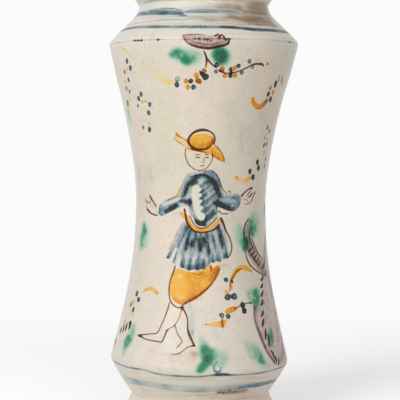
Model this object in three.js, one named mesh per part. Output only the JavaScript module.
// An albarello: a waisted earthenware drug jar, thrown and turned in one piece, then coated with tin glaze.
// Millimetres, +Z up, with the origin at the centre of the ring that the foot stands on.

import * as THREE from 'three';

// Heights of the zones of the outer face, from the ground up to the crest of the lip
const footHeight = 12;
const lowerConeHeight = 18.9;
const lowerWallHeight = 83.1;
const upperWallHeight = 94.2;
const shoulderHeight = 20.8;
const lipHeight = 11;

// Radii of the glazed outer face where those zones meet
const footRadius = 43;
const notchRadius = 38.6;
const keelRadius = 50.1;
const waistRadius = 36.6;
const shoulderRadius = 54;
const neckRadius = 36.7;
const lipRadius = 42.4;

// Lean from upright, in degrees, where a curve leaves or meets a corner; inwards is negative
const keelLean = -13.4;
const upperWallLean = 16.8;
const shoulderLean = -37.6;
const lipLean = 40;
const innerLipLean = 26;

// How long each curve holds its direction at its lower and its upper end, as shares of its rise
const lowerWallHold = [0.29, 0.37];
const upperWallHold = [0.07, 0.71];
const shoulderHold = [0.54, 0.28];
const lipHold = [0.12, 0.38];
const innerLipHold = [0.35, 0.35];

// Rounding of the edges that the potter's fingers and rib leave soft
const keelRounding = 6;
const shoulderRounding = 3;
const lipOuterRounding = 2.4;
const lipInnerRounding = 2;
const innerShoulderRounding = 5;
const innerKeelRounding = 5;
const floorRounding = 7;

// Thickness of the clay in the wall, heel and floor, of the lip, and of the glaze on either side
const wallThickness = 4.4;
const heelThickness = 7.2;
const floorThickness = 8;
const lipThickness = 7;
const lipEdgeDrop = 3;
const glazeThickness = 0.5;

// Bare foot: the ring that stands on the ground, its bevel, the turned recess and the end of the glaze
const footRingWidth = 8;
const footBevel = 1;
const recessDepth = 3;
const recessTaper = 1.5;
const bareFootHeight = 2.6;

// Facets round the jar and along the curves of its section
const facetsRound = 44;
const wallSteps = 5;
const shoulderSteps = 4;
const lipSteps = 2;
const roundingSteps = 2;

// A direction in the section, which is drawn as [radius, height]
function leaning(degrees) {
  const angle = THREE.MathUtils.degToRad(degrees);
  return new THREE.Vector2(Math.sin(angle), Math.cos(angle));
}

// A rising curve that leaves one point in one direction and arrives at another in its own
function sweep(start, startLean, end, endLean, hold, steps) {
  const rise = end.y - start.y;
  const leaving = start.clone().addScaledVector(leaning(startLean), hold[0] * rise);
  const arriving = end.clone().addScaledVector(leaning(endLean), -hold[1] * rise);
  return new THREE.CubicBezierCurve(start, leaving, arriving, end).getPoints(steps);
}

// The line that runs beside another, at one distance to the left of its direction, with mitred corners
function beside(line, distance) {
  return line.map((point, index) => {
    const before = line[index - 1] ?? point;
    const after = line[index + 1] ?? point;
    const leaving = after.clone().sub(index < line.length - 1 ? point : before).normalize();
    const arriving = (index > 0 ? point.clone() : after.clone()).sub(before).normalize();
    const along = leaving.clone().add(arriving).normalize();
    const reach = distance / along.dot(leaving);
    return new THREE.Vector2(point.x - along.y * reach, point.y + along.x * reach);
  });
}

// The same line with the given corners rounded, as far as the sides next to each leave room
function softened(line, roundings) {
  return line.flatMap((corner, index) => {
    if (!roundings.has(corner)) {
      return [corner];
    }
    const arriving = corner.clone().sub(line[index - 1]);
    const leaving = line[index + 1].clone().sub(corner);
    const room = 0.8 * Math.min(arriving.length(), leaving.length());
    const halfTurn = arriving.angleTo(leaving) / 2;
    const setback = Math.min(roundings.get(corner) * Math.tan(halfTurn), room);
    const start = corner.clone().addScaledVector(arriving.normalize(), -setback);
    const end = corner.clone().addScaledVector(leaving.normalize(), setback);
    return new THREE.QuadraticBezierCurve(start, corner, end).getPoints(roundingSteps);
  });
}

// Corners of the glazed outer face, from the foot's toe up to the lip
const notchHeight = footHeight;
const keelHeight = notchHeight + lowerConeHeight;
const waistHeight = keelHeight + lowerWallHeight;
const shoulderCornerHeight = waistHeight + upperWallHeight;
const neckHeight = shoulderCornerHeight + shoulderHeight;
const jarHeight = neckHeight + lipHeight;
const toe = new THREE.Vector2(footRadius, footBevel);
const notch = new THREE.Vector2(notchRadius, notchHeight);
const keel = new THREE.Vector2(keelRadius, keelHeight);
const waist = new THREE.Vector2(waistRadius, waistHeight);
const shoulder = new THREE.Vector2(shoulderRadius, shoulderCornerHeight);
const neck = new THREE.Vector2(neckRadius, neckHeight);
const lipEdge = new THREE.Vector2(lipRadius, jarHeight - lipEdgeDrop);
const lipCorner = new THREE.Vector2(lipRadius, jarHeight);
const crestMiddle = new THREE.Vector2(lipRadius - lipThickness / 2, jarHeight);

// The wall draws in from the keel to the waist, spreads to the shoulder and closes to the neck
const lowerWall = sweep(keel, keelLean, waist, 0, lowerWallHold, wallSteps);
const upperWall = sweep(waist, 0, shoulder, upperWallLean, upperWallHold, wallSteps);
const shoulderCurve = sweep(shoulder, shoulderLean, neck, 0, shoulderHold, shoulderSteps);
const lipFlare = sweep(neck, 0, lipEdge, lipLean, lipHold, lipSteps);
const wallLine = [
  notch,
  keel,
  ...lowerWall.slice(1),
  ...upperWall.slice(1, -1),
  shoulder,
  ...shoulderCurve.slice(1),
];

// Outer face of the finished jar, from where the glaze starts on the foot to the crest of the lip
const glazeLine = toe.clone().lerp(notch, (bareFootHeight - footBevel) / (notchHeight - footBevel));
const outerRoundings = new Map([
  [keel, keelRounding],
  [shoulder, shoulderRounding],
  [lipCorner, lipOuterRounding],
]);
const outerCorners = [glazeLine, ...wallLine, ...lipFlare.slice(1), lipCorner, crestMiddle];
const outerFace = softened(outerCorners, outerRoundings);

// Inner face of the finished jar, from the crest of the lip down to the middle of the floor
const glazedThickness = wallThickness + 2 * glazeThickness;
const innerWall = beside(wallLine, glazedThickness);
const innerKeel = innerWall[wallLine.indexOf(keel)];
const innerShoulder = innerWall[wallLine.indexOf(shoulder)];
const innerNeck = innerWall.at(-1);
const innerLipCorner = new THREE.Vector2(lipRadius - lipThickness, jarHeight);
const innerLip = sweep(innerNeck, 0, innerLipCorner, innerLipLean, innerLipHold, lipSteps);
const floorHeight = recessDepth + floorThickness + glazeThickness;
const floorEdge = new THREE.Vector2(notchRadius - heelThickness, floorHeight);
const floorMiddle = new THREE.Vector2(0, floorHeight);
const innerRoundings = new Map([
  [innerLipCorner, lipInnerRounding],
  [innerShoulder, innerShoulderRounding],
  [innerKeel, innerKeelRounding],
  [floorEdge, floorRounding],
]);
const innerCorners = [
  crestMiddle,
  innerLipCorner,
  ...innerLip.slice(1, -1).reverse(),
  ...innerWall.slice(1).reverse(),
  floorEdge,
  floorMiddle,
];
const innerFace = softened(innerCorners, innerRoundings);

// The clay lies one coat behind the finished faces, so both coats seat on it all over
const finishedFace = [...outerFace, ...innerFace.slice(1)];
const clayFace = beside(finishedFace, glazeThickness);
const crest = outerFace.length - 1;

// Underside of the clay: recess, bearing ring and bevelled toe
const [bareToe] = beside([toe, notch], glazeThickness);
const ringOuterRadius = bareToe.x - footBevel;
const ringInnerRadius = ringOuterRadius - footRingWidth;
const underside = [
  new THREE.Vector2(0, recessDepth),
  new THREE.Vector2(ringInnerRadius - recessTaper, recessDepth),
  new THREE.Vector2(ringInnerRadius, 0),
  new THREE.Vector2(ringOuterRadius, 0),
  bareToe,
];

// A solid turned about the jar's axis from a section that starts and ends on the axis, or closes on itself
function turned(name, section, color, roughness) {
  const geometry = new THREE.LatheGeometry(section, facetsRound);
  geometry.rotateX(Math.PI / 2);
  const material = new THREE.MeshStandardMaterial({ color, roughness, metalness: 0 });
  const mesh = new THREE.Mesh(geometry, material);
  mesh.name = name;
  return mesh;
}

// The fired clay, and the two coats, which meet on the crest of the lip
const outerCoat = [...finishedFace.slice(0, crest + 1), ...clayFace.slice(0, crest + 1).reverse()];
const innerCoat = [...clayFace.slice(crest).reverse(), ...finishedFace.slice(crest)];
const jar = new THREE.Group();
jar.add(turned('clay_body', [...underside, ...clayFace], '#c79f7c', 0.92));
jar.add(turned('outer_glaze', [...outerCoat, outerCoat[0]], '#ddd6c6', 0.24));
jar.add(turned('inner_glaze', innerCoat, '#d8d1c2', 0.3));

export default jar;
